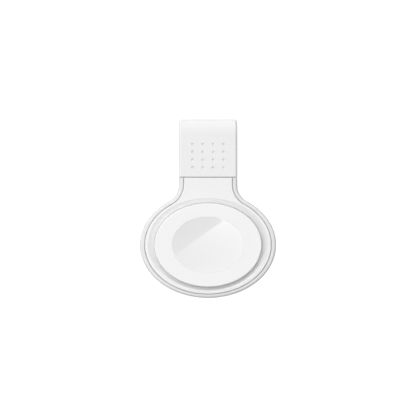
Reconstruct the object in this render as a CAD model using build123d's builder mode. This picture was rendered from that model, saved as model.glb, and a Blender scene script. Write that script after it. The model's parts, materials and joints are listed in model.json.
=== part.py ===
"""Portable smartwatch charger: an oval head with a raised charging pad, and a short neck that ends in a
capped USB-A plug.

The charger lies on its back. +Z leaves the face, +Y runs from the head to the plug, and the origin is
under the middle of the oval head, on the surface that the foot pad rests on. All sizes are millimetres.
"""

import os
from math import cos, degrees, hypot, radians, sin

from build123d import *

# ---------------------------------------------------------------- driving sizes
# Head, seen from the front
head_width = 39.0
head_length = 30.4
neck_reach = 4.0  # the head's end to the shoulder that the cap meets
neck_blend = 5.0  # radius of the curve that joins the neck to the head

# USB-A plug, standard sizes
plug_width = 12.0
plug_depth = 4.5
plug_sheet = 0.3
plug_reach = 12.6  # how far the plug stands out of the shoulder
plug_root = 4.2  # how much of the plug is held inside the neck

# Walls and fits round the plug, which set the neck's and the cap's section
plug_clearance = 0.12
liner_wall_side = 1.0
liner_wall_face = 0.5
liner_clearance = 0.03
cap_wall_side = 1.25
cap_wall_face = 0.95

# Housing
wall = 1.2
floor = 1.2
end_wall = 1.2
edge_radius = 0.8
rim_side = 1.35  # width of the rim beside the face plate
rim_end = 1.05  # width of the rim below the face plate
ledge_width = 0.8
ledge_thickness = 0.9
lip_height = 0.6
lip_thickness = 0.5
lip_clearance = 0.05
spigot_reach = 1.0
spigot_clearance = 0.2
edge_break = 0.1

# Face plate
plate_gap = 0.12
plate_air = 0.1  # air between the plate and the plug's shell
plate_edge_radius = 0.18
film = 0.15  # thickness of an adhesive film
film_margin = 0.2  # film's edge back from the edge of what it holds

# Charging pad and the sloping ring round it
pad_inset_side = 4.2  # head's edge to pad's edge, at the sides
pad_inset_end = 3.25
slope_side = 1.85  # width of the sloping ring, at the sides
slope_end = 1.45
slope_depth = 0.5
pad_clearance = 0.1
pad_rise = 1.5  # pad's top above the rim
pad_wall = 1.1
pad_roof = 1.5
pad_edge_radius = 0.3
flange_width = 0.8
flange_thickness = 0.75

# Dished cover in the pad
dish_width = 20.5
dish_length = 16.0
dish_clearance = 0.04
dish_edge_thickness = 0.9
dish_depth = 0.5
dish_lip = 0.12  # flat left round the hollow
dish_film = 0.1
dish_recess = 1.05  # pad's top down to the seat of the film

# Charging coil and what holds it
wire_radius = 0.3
wire_pitch = 0.55
coil_clearance = 0.4
magnet_radius = 4.8
magnet_thickness = 2.2
magnet_clearance = 0.25
yoke_thickness = 0.4
ferrite_thickness = 0.6
ferrite_overlap = 0.2
carrier_thickness = 1.2
carrier_clearance = 0.1
carrier_shelf = 1.3  # width of the shelf under the yoke
lead_radius = 0.25
lead_angle = 20.0  # each side of the head's width line
lead_stub = 1.6  # how far a lead runs outwards before it turns down
lead_bend = 0.7
lead_hole_radius = 0.6
joint_gap = 0.03  # left between a soldered end and its pad

# Screws, two in the pad and three in the rear shell
pad_screw_radius = 0.7
pad_screw_head_radius = 1.2
pad_screw_head_height = 0.55
pad_boss_radius = 1.35
board_screw_radius = 0.8
board_screw_head_radius = 1.5
board_screw_head_height = 0.8
board_boss_radius = 1.6
board_boss_inset = 2.9  # inside of the wall to a boss's centre
screw_clearance = 0.02
screw_slack = 0.1  # round a screw where it passes through a piece without gripping
drive_width = 0.3
drive_depth = 0.3
screw_tip_gap = 0.3  # left beyond a carrier screw
board_screw_tip_gap = 0.2  # left between a board screw and the floor under its boss

# Circuit board
board_thickness = 0.8
board_clearance = 0.4
component_room = 1.05  # between the board and the carrier above it
inductor_air = 0.3  # between the inductor and the floor
thermal_pad_place = (0.0, 3.0)
thermal_pad_size = (9.0, 7.0)

# Plug details
contact_width = 1.0
contact_thickness = 0.25
contacts = ((-3.5, 1.2), (-1.0, 2.2), (1.0, 2.2), (3.5, 1.2))  # place across, and tip's setback
tongue_clearance = 0.05
tongue_recess = 0.5
tongue_block_length = 2.0
tail_length = 2.2
foot_length = 1.8
foot_height = 1.0
window_size = (2.5, 2.1)
window_place = (2.4, 5.2)  # from the plug's centre line, and from its tip
ear_reach = 0.7
ear_length = 0.8
ear_height = 1.5
rib_clearance = 0.08
rib_thickness = 0.7

# Cap
cap_gap = 0.15
cap_length = 16.55
cap_corner_radius = 0.9
cap_taper_length = 4.3
cap_taper_drop = 0.75  # how much each face falls back at the cap's end
liner_end_wall = 0.9
liner_tip_air = 0.3
liner_rib_height = 0.07
liner_rib_width = 0.8
dot_columns = 4
dot_rows = 4
dot_pitch_across = 2.94
dot_pitch_along = 2.23
dot_radius = 0.42
dot_depth = 0.18
dot_end_margin = 2.65  # cap's mouth to the nearest row of dots

# Foot pad
foot_proud = 0.3
foot_depth = 0.4
foot_margin = 4.4
pocket_clearance = 0.05
foot_edge_radius = 0.25

# ---------------------------------------------------------------- worked out
neck_end = head_length / 2 + neck_reach
neck_width = plug_width + 2 * (plug_clearance + liner_wall_side + liner_clearance + cap_wall_side)
body_depth = plug_depth + 2 * (plug_clearance + liner_wall_face + liner_clearance + cap_wall_face)

rear_z = foot_proud
mid_z = rear_z + body_depth / 2
rim_z = rear_z + body_depth
floor_z = rear_z + floor
plate_under_z = mid_z + plug_depth / 2 + plate_air
ledge_z = plate_under_z - film
pad_top_z = rim_z + pad_rise
pad_roof_z = pad_top_z - pad_roof

plug_tip_y = neck_end + plug_reach
plug_root_y = neck_end - plug_root
inner_end_y = neck_end - end_wall

pad_a = head_width / 2 - pad_inset_side
pad_b = head_length / 2 - pad_inset_end
pad_inner_a = pad_a - pad_wall
pad_inner_b = pad_b - pad_wall
pad_boss_room = 2 * pad_boss_radius + 2 * coil_clearance
coil_outer = min(pad_inner_b - coil_clearance, pad_inner_a - pad_boss_room)
coil_inner = magnet_radius + 2 * magnet_clearance
coil_turns = int((coil_outer - coil_inner - 2 * wire_radius) / wire_pitch) + 1
coil_thickness = 2 * (wire_radius + wire_pitch / 2)
coil_under_z = pad_roof_z - coil_thickness
ferrite_under_z = coil_under_z - ferrite_thickness
carrier_under_z = ferrite_under_z - carrier_thickness
board_top_z = carrier_under_z - component_room
board_under_z = board_top_z - board_thickness
magnet_under_z = pad_roof_z - magnet_thickness
yoke_under_z = magnet_under_z - yoke_thickness
pad_boss_x = coil_outer + coil_clearance + pad_boss_radius
flange_under_z = ledge_z - flange_thickness

shell_half_a = head_width / 2 - wall
shell_half_b = head_length / 2 - wall
board_boss_places = [
    (shell_half_a - board_boss_inset, 0),
    (-(shell_half_a - board_boss_inset), 0),
    (0, -(shell_half_b - board_boss_inset)),
]
slot_half_width = plug_width / 2 + plate_air
slot_half_depth = plug_depth / 2 + plate_air
spigot_half_width = neck_width / 2 - cap_wall_side - spigot_clearance
spigot_half_depth = body_depth / 2 - cap_wall_face - spigot_clearance

ear_y = (plug_root_y + inner_end_y) / 2
rib_width = neck_width / 2 - wall - slot_half_width
rib_x = slot_half_width + rib_width / 2
rib_offset = (ear_length + rib_thickness) / 2 + rib_clearance
foot_a = head_width / 2 - foot_margin
foot_b = head_length / 2 - foot_margin
dish_seat_z = pad_top_z - dish_recess
lead_z = coil_under_z + wire_radius

cap_mouth_y = neck_end + cap_gap
cap_end_y = cap_mouth_y + cap_length
taper_y = cap_end_y - cap_taper_length
liner_mouth_y = neck_end + spigot_reach + cap_gap
liner_end_y = plug_tip_y + liner_tip_air + liner_end_wall
dots_y = cap_mouth_y + dot_end_margin + (dot_rows - 1) * dot_pitch_along / 2


# ---------------------------------------------------------------- shared outlines
def blend_angle(a, b, half_neck, radius):
    """Angle on the ellipse a by b where the curve from the neck meets it."""
    low, high = radians(1), radians(89)
    for _ in range(50):
        angle = (low + high) / 2
        normal = hypot(b * cos(angle), a * sin(angle))
        centre_x = a * cos(angle) + radius * b * cos(angle) / normal
        if centre_x > half_neck + radius:
            low = angle
        else:
            high = angle
    return angle


def body_outline(side=0.0, end=0.0, top=neck_end):
    """The head and neck seen from the front, taken in by side at the sides and end below, up to y = top."""
    a, b = head_width / 2 - side, head_length / 2 - end
    half_neck, radius = neck_width / 2 - side, neck_blend + side
    angle = blend_angle(a, b, half_neck, radius)
    normal = hypot(b * cos(angle), a * sin(angle))
    foot = Vector(a * cos(angle), b * sin(angle))
    centre = foot + Vector(b * cos(angle), a * sin(angle)) * (radius / normal)
    middle = centre + ((foot - centre).normalized() + Vector(-1, 0)).normalized() * radius
    full = max(top, centre.Y) + wall
    with BuildSketch() as plan:
        with BuildLine():
            EllipticalCenterArc((0, 0), a, b, 180 - degrees(angle), arc_size=180 + 2 * degrees(angle))
            ThreePointArc(foot, middle, (half_neck, centre.Y))
            ThreePointArc((-foot.X, foot.Y), (-middle.X, middle.Y), (-half_neck, centre.Y))
            Polyline((half_neck, centre.Y), (half_neck, full), (-half_neck, full), (-half_neck, centre.Y))
        make_face()
        with Locations((0, top)):
            Rectangle(head_width, head_length, align=(Align.CENTER, Align.MIN), mode=Mode.SUBTRACT)
    return plan.sketch


def side_edges(part, z):
    """The outer edges of the body at height z, without the straight one at the shoulder."""
    loop = part.faces().filter_by(Axis.Z).group_by(Axis.Z)[-1 if z > mid_z else 0].edges()
    return [edge for edge in loop if edge.center().Y < neck_end - edge_break]


def shoulder_edges(part):
    """The edges round the neck's shoulder, without the one on the parting line."""
    shoulder = part.faces().sort_by(Axis.Y)[-1]
    return [edge for edge in shoulder.edges() if abs(edge.center().Z - mid_z) > edge_break]


def on_cap_face(edge):
    """True for an edge round the cap's front or back face, its tapered end included."""
    along = edge.center().Y > cap_mouth_y + edge_break
    height = abs(edge.center().Z - mid_z)
    return along and height > body_depth / 2 - 1.5 * cap_taper_drop


def finish(part, name):
    """Labels a piece and writes its STEP file."""
    part.label = name
    export_step(part, f"parts/{name}.step")


os.makedirs("parts", exist_ok=True)

# ---------------------------------------------------------------- rear shell
with BuildPart() as rear_shell:
    with BuildSketch(Plane.XY.offset(rear_z)):
        add(body_outline())
    extrude(amount=mid_z - rear_z)
    fillet(side_edges(rear_shell.part, rear_z), edge_radius)
    chamfer(shoulder_edges(rear_shell.part), edge_break)
    # Inside of the tub
    with BuildSketch(Plane.XY.offset(floor_z)):
        add(body_outline(wall, wall, inner_end_y))
    extrude(amount=mid_z - floor_z, mode=Mode.SUBTRACT)
    # Lip that the front frame fits over, as far as the plug
    with BuildSketch(Plane.XY.offset(mid_z)):
        add(body_outline(wall - lip_thickness, wall - lip_thickness, plug_root_y))
        add(body_outline(wall, wall, plug_root_y), mode=Mode.SUBTRACT)
    extrude(amount=lip_height)
    # Bosses under the circuit board
    with BuildSketch(Plane.XY.offset(floor_z)):
        with Locations(*board_boss_places):
            Circle(board_boss_radius)
    extrude(amount=board_under_z - floor_z)
    # Ribs in the neck, in front of and behind the plug's ears
    with BuildSketch(Plane.XY.offset(floor_z)):
        with Locations((0, ear_y)):
            with GridLocations(2 * rib_x, 2 * rib_offset, 2, 2):
                Rectangle(rib_width, rib_thickness)
    extrude(amount=mid_z - floor_z)
    # Half of the collar that the cap's mouth slides over
    with BuildSketch(Plane.XZ.offset(-neck_end)):
        with Locations((0, mid_z)):
            Rectangle(2 * spigot_half_width, spigot_half_depth, align=(Align.CENTER, Align.MAX))
    extrude(amount=-spigot_reach)
    # Way through for the plug
    with BuildSketch(Plane.XZ.offset(-inner_end_y)):
        with Locations((0, mid_z)):
            Rectangle(2 * slot_half_width, 2 * slot_half_depth)
    extrude(amount=-(end_wall + spigot_reach), mode=Mode.SUBTRACT)
    # Recess for the foot pad, and the screw holes
    with BuildSketch(Plane.XY.offset(rear_z)):
        Ellipse(foot_a, foot_b)
    extrude(amount=foot_depth, mode=Mode.SUBTRACT)
    with BuildSketch(Plane.XY.offset(board_under_z)):
        with Locations(*board_boss_places):
            Circle(board_screw_radius + screw_clearance)
    extrude(amount=-(board_under_z - floor_z), mode=Mode.SUBTRACT)
finish(rear_shell.part, "rear_shell")

# ---------------------------------------------------------------- foot pad
with BuildPart() as rear_pad:
    with BuildSketch():
        Ellipse(foot_a - pocket_clearance, foot_b - pocket_clearance)
    extrude(amount=foot_proud + foot_depth)
    fillet(rear_pad.edges().group_by(Axis.Z)[0], foot_edge_radius)
finish(rear_pad.part, "rear_pad")

# ---------------------------------------------------------------- front frame
with BuildPart() as front_frame:
    with BuildSketch(Plane.XY.offset(mid_z)):
        add(body_outline())
    extrude(amount=rim_z - mid_z)
    fillet(side_edges(front_frame.part, rim_z), edge_radius)
    chamfer(shoulder_edges(front_frame.part), edge_break)
    # Rebate over the rear shell's lip
    rebate = wall - lip_thickness - lip_clearance
    with BuildSketch(Plane.XY.offset(mid_z)):
        add(body_outline(rebate, rebate, plug_root_y + lip_clearance))
    extrude(amount=lip_height + lip_clearance, mode=Mode.SUBTRACT)
    # Inside of the wall, then of the ledge that carries the face plate
    with BuildSketch(Plane.XY.offset(mid_z)):
        add(body_outline(wall, wall, inner_end_y))
    extrude(amount=ledge_z - ledge_thickness - mid_z, mode=Mode.SUBTRACT)
    with BuildSketch(Plane.XY.offset(mid_z)):
        add(body_outline(rim_side + ledge_width, rim_end + ledge_width, inner_end_y))
    extrude(amount=rim_z - mid_z, mode=Mode.SUBTRACT)
    # Seat of the face plate, open at the shoulder
    with BuildSketch(Plane.XY.offset(ledge_z)):
        add(body_outline(rim_side, rim_end, neck_end + wall))
    extrude(amount=rim_z - ledge_z, mode=Mode.SUBTRACT)
    # Half of the collar, and the way through for the plug
    with BuildSketch(Plane.XZ.offset(-neck_end)):
        with Locations((0, mid_z)):
            Rectangle(2 * spigot_half_width, spigot_half_depth, align=(Align.CENTER, Align.MIN))
    extrude(amount=-spigot_reach)
    with BuildSketch(Plane.XZ.offset(-inner_end_y)):
        with Locations((0, mid_z)):
            Rectangle(2 * slot_half_width, 2 * slot_half_depth)
    extrude(amount=-(end_wall + spigot_reach), mode=Mode.SUBTRACT)
finish(front_frame.part, "front_frame")

# ---------------------------------------------------------------- face plate
with BuildPart() as slope_cutter:
    with BuildSketch(Plane.XY.offset(rim_z)):
        Ellipse(pad_a + slope_side, pad_b + slope_end)
    with BuildSketch(Plane.XY.offset(rim_z - slope_depth)):
        Ellipse(pad_a + pad_clearance, pad_b + pad_clearance)
    loft(ruled=True)

with BuildPart() as face_plate:
    with BuildSketch(Plane.XY.offset(plate_under_z)):
        add(body_outline(rim_side + plate_gap, rim_end + plate_gap))
    extrude(amount=rim_z - plate_under_z)
    fillet(face_plate.edges().group_by(Axis.Z)[-1], plate_edge_radius)
    add(slope_cutter.part, mode=Mode.SUBTRACT)
    with BuildSketch(Plane.XY.offset(plate_under_z)):
        Ellipse(pad_a + pad_clearance, pad_b + pad_clearance)
    extrude(amount=rim_z - plate_under_z, mode=Mode.SUBTRACT)
finish(face_plate.part, "face_plate")

# ---------------------------------------------------------------- adhesive films
with BuildPart() as face_adhesive:
    with BuildSketch(Plane.XY.offset(ledge_z)):
        add(body_outline(rim_side + film_margin, rim_end + film_margin, inner_end_y))
        add(body_outline(rim_side + ledge_width, rim_end + ledge_width, inner_end_y), mode=Mode.SUBTRACT)
    extrude(amount=film)
finish(face_adhesive.part, "face_adhesive")

with BuildPart() as pad_adhesive:
    with BuildSketch(Plane.XY.offset(ledge_z)):
        Ellipse(pad_a + flange_width, pad_b + flange_width)
        Ellipse(pad_a + film_margin, pad_b + film_margin, mode=Mode.SUBTRACT)
    extrude(amount=film)
finish(pad_adhesive.part, "pad_adhesive")

with BuildPart() as dish_adhesive:
    with BuildSketch(Plane.XY.offset(dish_seat_z)):
        Ellipse(dish_width / 2 - film_margin, dish_length / 2 - film_margin)
    extrude(amount=dish_film)
finish(dish_adhesive.part, "dish_adhesive")

# ---------------------------------------------------------------- charging pad
with BuildPart() as puck_shell:
    with BuildSketch(Plane.XY.offset(flange_under_z)):
        Ellipse(pad_a, pad_b)
    extrude(amount=pad_top_z - flange_under_z)
    fillet(puck_shell.edges().group_by(Axis.Z)[-1], pad_edge_radius)
    with BuildSketch(Plane.XY.offset(flange_under_z)):
        Ellipse(pad_a + flange_width, pad_b + flange_width)
    extrude(amount=flange_thickness)
    with BuildSketch(Plane.XY.offset(flange_under_z)):
        Ellipse(pad_inner_a, pad_inner_b)
    extrude(amount=pad_roof_z - flange_under_z, mode=Mode.SUBTRACT)
    # Bosses for the carrier's screws
    with BuildSketch(Plane.XY.offset(ferrite_under_z)):
        with Locations((pad_boss_x, 0), (-pad_boss_x, 0)):
            Circle(pad_boss_radius)
            Circle(pad_screw_radius + screw_clearance, mode=Mode.SUBTRACT)
    extrude(amount=pad_roof_z - ferrite_under_z)
    # Seat of the dished cover
    with BuildSketch(Plane.XY.offset(dish_seat_z)):
        Ellipse(dish_width / 2 + dish_clearance, dish_length / 2 + dish_clearance)
    extrude(amount=pad_top_z - dish_seat_z, mode=Mode.SUBTRACT)
finish(puck_shell.part, "puck_shell")

# ---------------------------------------------------------------- dished cover
hollow_a = dish_width / 2 - dish_lip
hollow_b = dish_length / 2 - dish_lip
with BuildPart() as hollow:
    with BuildSketch(Plane.XZ):
        with BuildLine():
            ThreePointArc((-hollow_a, 0), (0, -dish_depth), (hollow_a, 0))
            Polyline((hollow_a, 0), (hollow_a, dish_depth), (-hollow_a, dish_depth), (-hollow_a, 0))
        make_face()
        split(bisect_by=Plane.YZ)
    revolve(axis=Axis.Z)
    scale(by=(1, hollow_b / hollow_a, 1))

with BuildPart() as dish_cover:
    with BuildSketch(Plane.XY.offset(dish_seat_z + dish_film)):
        Ellipse(dish_width / 2, dish_length / 2)
    extrude(amount=dish_edge_thickness)
    with Locations((0, 0, dish_seat_z + dish_film + dish_edge_thickness)):
        add(hollow.part, mode=Mode.SUBTRACT)
finish(dish_cover.part, "dish_cover")

# ---------------------------------------------------------------- charging coil
with BuildPart() as charging_coil:
    with BuildSketch(Plane.XZ):
        with Locations((coil_outer - wire_radius, coil_under_z + wire_radius)):
            for turn in range(coil_turns):
                with Locations((-turn * wire_pitch, 0), (-turn * wire_pitch, wire_pitch)):
                    Circle(wire_radius)
            Rectangle((coil_turns - 1) * wire_pitch, wire_pitch, align=(Align.MAX, Align.MIN))
    revolve(axis=Axis.Z)
finish(charging_coil.part, "charging_coil")

lead_start = coil_outer + joint_gap
lead_end = coil_outer + lead_stub
with BuildPart() as coil_leads:
    for angle in (lead_angle, -lead_angle):
        side = Plane.XZ.rotated((0, 0, angle))
        with BuildLine(side) as route:
            FilletPolyline(
                (lead_start, lead_z), (lead_end, lead_z), (lead_end, board_top_z), radius=lead_bend
            )
        with BuildSketch(Plane(route.line @ 0, z_dir=route.line % 0)):
            Circle(lead_radius)
        sweep(path=route.line)
finish(coil_leads.part, "coil_leads")

with BuildPart() as ferrite_disc:
    with BuildSketch(Plane.XY.offset(ferrite_under_z)):
        Circle(coil_outer + ferrite_overlap)
        Circle(magnet_radius + magnet_clearance, mode=Mode.SUBTRACT)
    extrude(amount=ferrite_thickness)
finish(ferrite_disc.part, "ferrite_disc")

# ---------------------------------------------------------------- magnet and its carrier
with BuildPart() as alignment_magnet:
    with BuildSketch(Plane.XY.offset(magnet_under_z)):
        Circle(magnet_radius)
    extrude(amount=magnet_thickness)
    chamfer(alignment_magnet.edges(), edge_break)
finish(alignment_magnet.part, "alignment_magnet")

with BuildPart() as magnet_yoke:
    with BuildSketch(Plane.XY.offset(yoke_under_z)):
        Circle(magnet_radius)
    extrude(amount=yoke_thickness)
finish(magnet_yoke.part, "magnet_yoke")

with BuildPart() as coil_carrier:
    with BuildSketch(Plane.XY.offset(carrier_under_z)):
        Ellipse(pad_inner_a - carrier_clearance, pad_inner_b - carrier_clearance)
        with Locations((pad_boss_x, 0), (-pad_boss_x, 0)):
            Circle(pad_screw_radius + screw_slack, mode=Mode.SUBTRACT)
        with PolarLocations(lead_end, 2, start_angle=-lead_angle, angular_range=4 * lead_angle):
            Circle(lead_hole_radius, mode=Mode.SUBTRACT)
        Circle(magnet_radius - carrier_shelf, mode=Mode.SUBTRACT)
    extrude(amount=carrier_thickness)
    # Pocket for the yoke and the magnet, and recesses for the screw heads
    with BuildSketch(Plane.XY.offset(yoke_under_z)):
        Circle(magnet_radius + magnet_clearance)
    extrude(amount=ferrite_under_z - yoke_under_z, mode=Mode.SUBTRACT)
    with BuildSketch(Plane.XY.offset(carrier_under_z)):
        with Locations((pad_boss_x, 0), (-pad_boss_x, 0)):
            Circle(pad_screw_head_radius + screw_slack)
    extrude(amount=pad_screw_head_height, mode=Mode.SUBTRACT)
finish(coil_carrier.part, "coil_carrier")

# ---------------------------------------------------------------- screws
with BuildPart() as carrier_screws:
    with BuildSketch(Plane.XY.offset(carrier_under_z)):
        with Locations((pad_boss_x, 0), (-pad_boss_x, 0)):
            Circle(pad_screw_head_radius)
    extrude(amount=pad_screw_head_height)
    with BuildSketch(Plane.XY.offset(carrier_under_z + pad_screw_head_height)):
        with Locations((pad_boss_x, 0), (-pad_boss_x, 0)):
            Circle(pad_screw_radius)
    extrude(amount=pad_roof_z - screw_tip_gap - carrier_under_z - pad_screw_head_height)
    with BuildSketch(Plane.XY.offset(carrier_under_z)):
        with Locations((pad_boss_x, 0), (-pad_boss_x, 0)):
            Rectangle(1.5 * pad_screw_head_radius, drive_width)
            Rectangle(drive_width, 1.5 * pad_screw_head_radius)
    extrude(amount=drive_depth, mode=Mode.SUBTRACT)
finish(carrier_screws.part, "carrier_screws")

with BuildPart() as board_screws:
    with BuildSketch(Plane.XY.offset(board_top_z)):
        with Locations(*board_boss_places):
            Circle(board_screw_head_radius)
    extrude(amount=board_screw_head_height)
    with BuildSketch(Plane.XY.offset(board_top_z)):
        with Locations(*board_boss_places):
            Circle(board_screw_radius)
    extrude(amount=-(board_top_z - floor_z - board_screw_tip_gap))
    with BuildSketch(Plane.XY.offset(board_top_z + board_screw_head_height)):
        with Locations(*board_boss_places):
            Rectangle(1.3 * board_screw_head_radius, drive_width)
            Rectangle(drive_width, 1.3 * board_screw_head_radius)
    extrude(amount=-drive_depth, mode=Mode.SUBTRACT)
finish(board_screws.part, "board_screws")

# ---------------------------------------------------------------- circuit board
with BuildPart() as main_board:
    with BuildSketch(Plane.XY.offset(board_under_z)):
        add(body_outline(wall + board_clearance, wall + board_clearance, plug_root_y - board_clearance))
        with Locations(*board_boss_places):
            Circle(board_screw_radius + screw_slack, mode=Mode.SUBTRACT)
    extrude(amount=board_thickness)
finish(main_board.part, "main_board")


def components(places, size, z=board_top_z, up=1):
    """Rectangular components standing on the board at z, above it (up=1) or below it (up=-1)."""
    with BuildPart() as group:
        with BuildSketch(Plane.XY.offset(z)):
            with Locations(*places):
                Rectangle(size[0], size[1])
        extrude(amount=up * size[2])
    return group.part


board_parts = {
    "controller_chip": ([(-3.6, 3.0)], (5.0, 5.0, 0.85), 1),
    "bridge_chips": ([(2.9, 0.8), (2.9, 5.2)], (3.0, 3.0, 0.75), 1),
    "resonant_capacitors": ([(x, 8.6) for x in (-6.6, -2.2, 2.2, 6.6)], (3.2, 1.6, 0.9), 1),
    "clock_crystal": ([(-9.4, 3.0)], (3.2, 2.5, 0.7), 1),
    "ceramic_capacitors": ([(x, -3.4) for x in (-5.2, -2.6, 0.0, 2.6)], (1.6, 0.8, 0.8), 1),
    "resistors": ([(x, -6.2) for x in (-6.0, -4.0, -2.0, 0.0, 2.0, 4.0)], (0.6, 1.0, 0.35), 1),
    "power_inductor": ([(-7.6, -3.6)], (5.0, 5.0, board_under_z - floor_z - inductor_air), -1),
}
for name, (places, size, up) in board_parts.items():
    finish(components(places, size, board_top_z if up > 0 else board_under_z, up), name)

with BuildPart() as thermal_pad:
    with BuildSketch(Plane.XY.offset(floor_z)):
        with Locations(thermal_pad_place):
            Rectangle(*thermal_pad_size)
    extrude(amount=board_under_z - floor_z)
finish(thermal_pad.part, "thermal_pad")

# ---------------------------------------------------------------- plug
with BuildPart() as usb_shell:
    with BuildSketch(Plane.XZ.offset(-plug_root_y)):
        with Locations((0, mid_z)):
            RectangleRounded(plug_width, plug_depth, plug_sheet)
            Rectangle(plug_width - 2 * plug_sheet, plug_depth - 2 * plug_sheet, mode=Mode.SUBTRACT)
    extrude(amount=-(plug_tip_y - plug_root_y))
    # Windows, two in each face
    with BuildSketch(Plane.XY.offset(mid_z)):
        with Locations((0, plug_tip_y - window_place[1])):
            with GridLocations(2 * window_place[0], 1, 2, 1):
                Rectangle(window_size[0], window_size[1])
    extrude(amount=plug_depth, both=True, mode=Mode.SUBTRACT)
    # Ears that the rear shell's ribs hold
    with BuildSketch(Plane.XY.offset(mid_z)):
        with Locations((0, ear_y)):
            with GridLocations(plug_width + ear_reach, 1, 2, 1):
                Rectangle(ear_reach, ear_length)
    extrude(amount=ear_height / 2, both=True)
    # Feet soldered to the board
    with BuildSketch(Plane.XY.offset(board_top_z)):
        with Locations((0, plug_root_y)):
            with GridLocations(plug_width - plug_sheet, 1, 2, 1):
                Rectangle(plug_sheet, foot_length, align=(Align.CENTER, Align.MAX))
    extrude(amount=foot_height)
finish(usb_shell.part, "usb_shell")

tongue_half_width = plug_width / 2 - plug_sheet - tongue_clearance
plug_floor_z = mid_z - plug_depth / 2 + plug_sheet
with BuildPart() as usb_tongue:
    with BuildSketch(Plane.XY.offset(plug_floor_z)):
        with Locations((0, plug_root_y)):
            Rectangle(
                2 * tongue_half_width,
                plug_tip_y - tongue_recess - plug_root_y,
                align=(Align.CENTER, Align.MIN),
            )
    extrude(amount=board_top_z - plug_floor_z)
    tip_edges = usb_tongue.edges().filter_by(Axis.X).group_by(Axis.Y)[-1]
    chamfer(tip_edges.sort_by(Axis.Z)[-1], tongue_recess)
    with BuildSketch(Plane.XY.offset(board_top_z)):
        with Locations((0, plug_root_y)):
            Rectangle(2 * tongue_half_width, tongue_block_length, align=(Align.CENTER, Align.MIN))
    extrude(amount=mid_z + plug_depth / 2 - plug_sheet - tongue_clearance - board_top_z)
    with BuildSketch(Plane.XY.offset(board_top_z)):
        with Locations(*[(x, plug_root_y) for x, setback in contacts]):
            Rectangle(contact_width, tongue_block_length, align=(Align.CENTER, Align.MIN))
    extrude(amount=contact_thickness, mode=Mode.SUBTRACT)
finish(usb_tongue.part, "usb_tongue")

with BuildPart() as usb_contacts:
    for x, setback in contacts:
        with BuildSketch(Plane.XY.offset(board_top_z)):
            with Locations((x, plug_root_y - tail_length)):
                Rectangle(
                    contact_width,
                    plug_tip_y - setback - plug_root_y + tail_length,
                    align=(Align.CENTER, Align.MIN),
                )
        extrude(amount=contact_thickness)
finish(usb_contacts.part, "usb_contacts")

# ---------------------------------------------------------------- cap
with BuildPart() as cap_shell:
    with BuildSketch(Plane.YZ):
        with BuildLine():
            half = body_depth / 2
            low, top = mid_z - half, mid_z + half
            Line((cap_mouth_y, low), (cap_mouth_y, top))
            Line((cap_mouth_y, top), (taper_y, top))
            TangentArc((taper_y, top), (cap_end_y, top - cap_taper_drop), tangent=(1, 0))
            Line((cap_end_y, top - cap_taper_drop), (cap_end_y, low + cap_taper_drop))
            TangentArc((taper_y, low), (cap_end_y, low + cap_taper_drop), tangent=(1, 0))
            Line((taper_y, low), (cap_mouth_y, low))
        make_face()
    extrude(amount=neck_width / 2, both=True)
    fillet(cap_shell.edges().filter_by(Axis.Z).group_by(Axis.Y)[-1], cap_corner_radius)
    long_edges = [edge for edge in cap_shell.edges() if on_cap_face(edge)]
    fillet(long_edges, edge_radius)
    mouth = cap_shell.faces().sort_by(Axis.Y)[0]
    chamfer(mouth.edges(), edge_break)
    # Room for the liner
    with BuildSketch(Plane.XZ.offset(-cap_mouth_y)):
        with Locations((0, mid_z)):
            Rectangle(neck_width - 2 * cap_wall_side, body_depth - 2 * cap_wall_face)
    extrude(amount=-(liner_end_y + liner_clearance - cap_mouth_y), mode=Mode.SUBTRACT)
    # Grip dimples in both faces
    dimple_radius = (dot_radius**2 + dot_depth**2) / (2 * dot_depth)
    for z, way in ((rim_z, 1), (rear_z, -1)):
        with Locations((0, dots_y, z + way * (dimple_radius - dot_depth))):
            with GridLocations(dot_pitch_across, dot_pitch_along, dot_columns, dot_rows):
                Sphere(dimple_radius, mode=Mode.SUBTRACT)
finish(cap_shell.part, "cap_shell")

with BuildPart() as cap_liner:
    with BuildSketch(Plane.XZ.offset(-liner_mouth_y)):
        with Locations((0, mid_z)):
            Rectangle(
                plug_width + 2 * (plug_clearance + liner_wall_side),
                plug_depth + 2 * (plug_clearance + liner_wall_face),
            )
    extrude(amount=-(liner_end_y - liner_mouth_y))
    with BuildSketch(Plane.XZ.offset(-liner_mouth_y)):
        with Locations((0, mid_z)):
            Rectangle(plug_width + 2 * plug_clearance, plug_depth + 2 * plug_clearance)
            with GridLocations(plug_width / 2, plug_depth + 2 * plug_clearance, 2, 2):
                Rectangle(liner_rib_width, 2 * liner_rib_height, mode=Mode.SUBTRACT)
    extrude(amount=-(plug_tip_y + liner_tip_air - liner_mouth_y), mode=Mode.SUBTRACT)
finish(cap_liner.part, "cap_liner")
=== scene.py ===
# %% [markdown]
# # A pocket smartwatch charger
# The charger lies on its back on a white table: an oval head with a raised charging pad, and a short neck
# whose plug is covered by a square cap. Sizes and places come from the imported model, which is loaded first
# and never moved. Everything after that is looks: light, finishes, and the fine shapes that plain solids
# leave out, such as the wound coil, the screw threads and the studs of the rubber foot.

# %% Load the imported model
import json
from functools import reduce
from math import pi, radians

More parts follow.
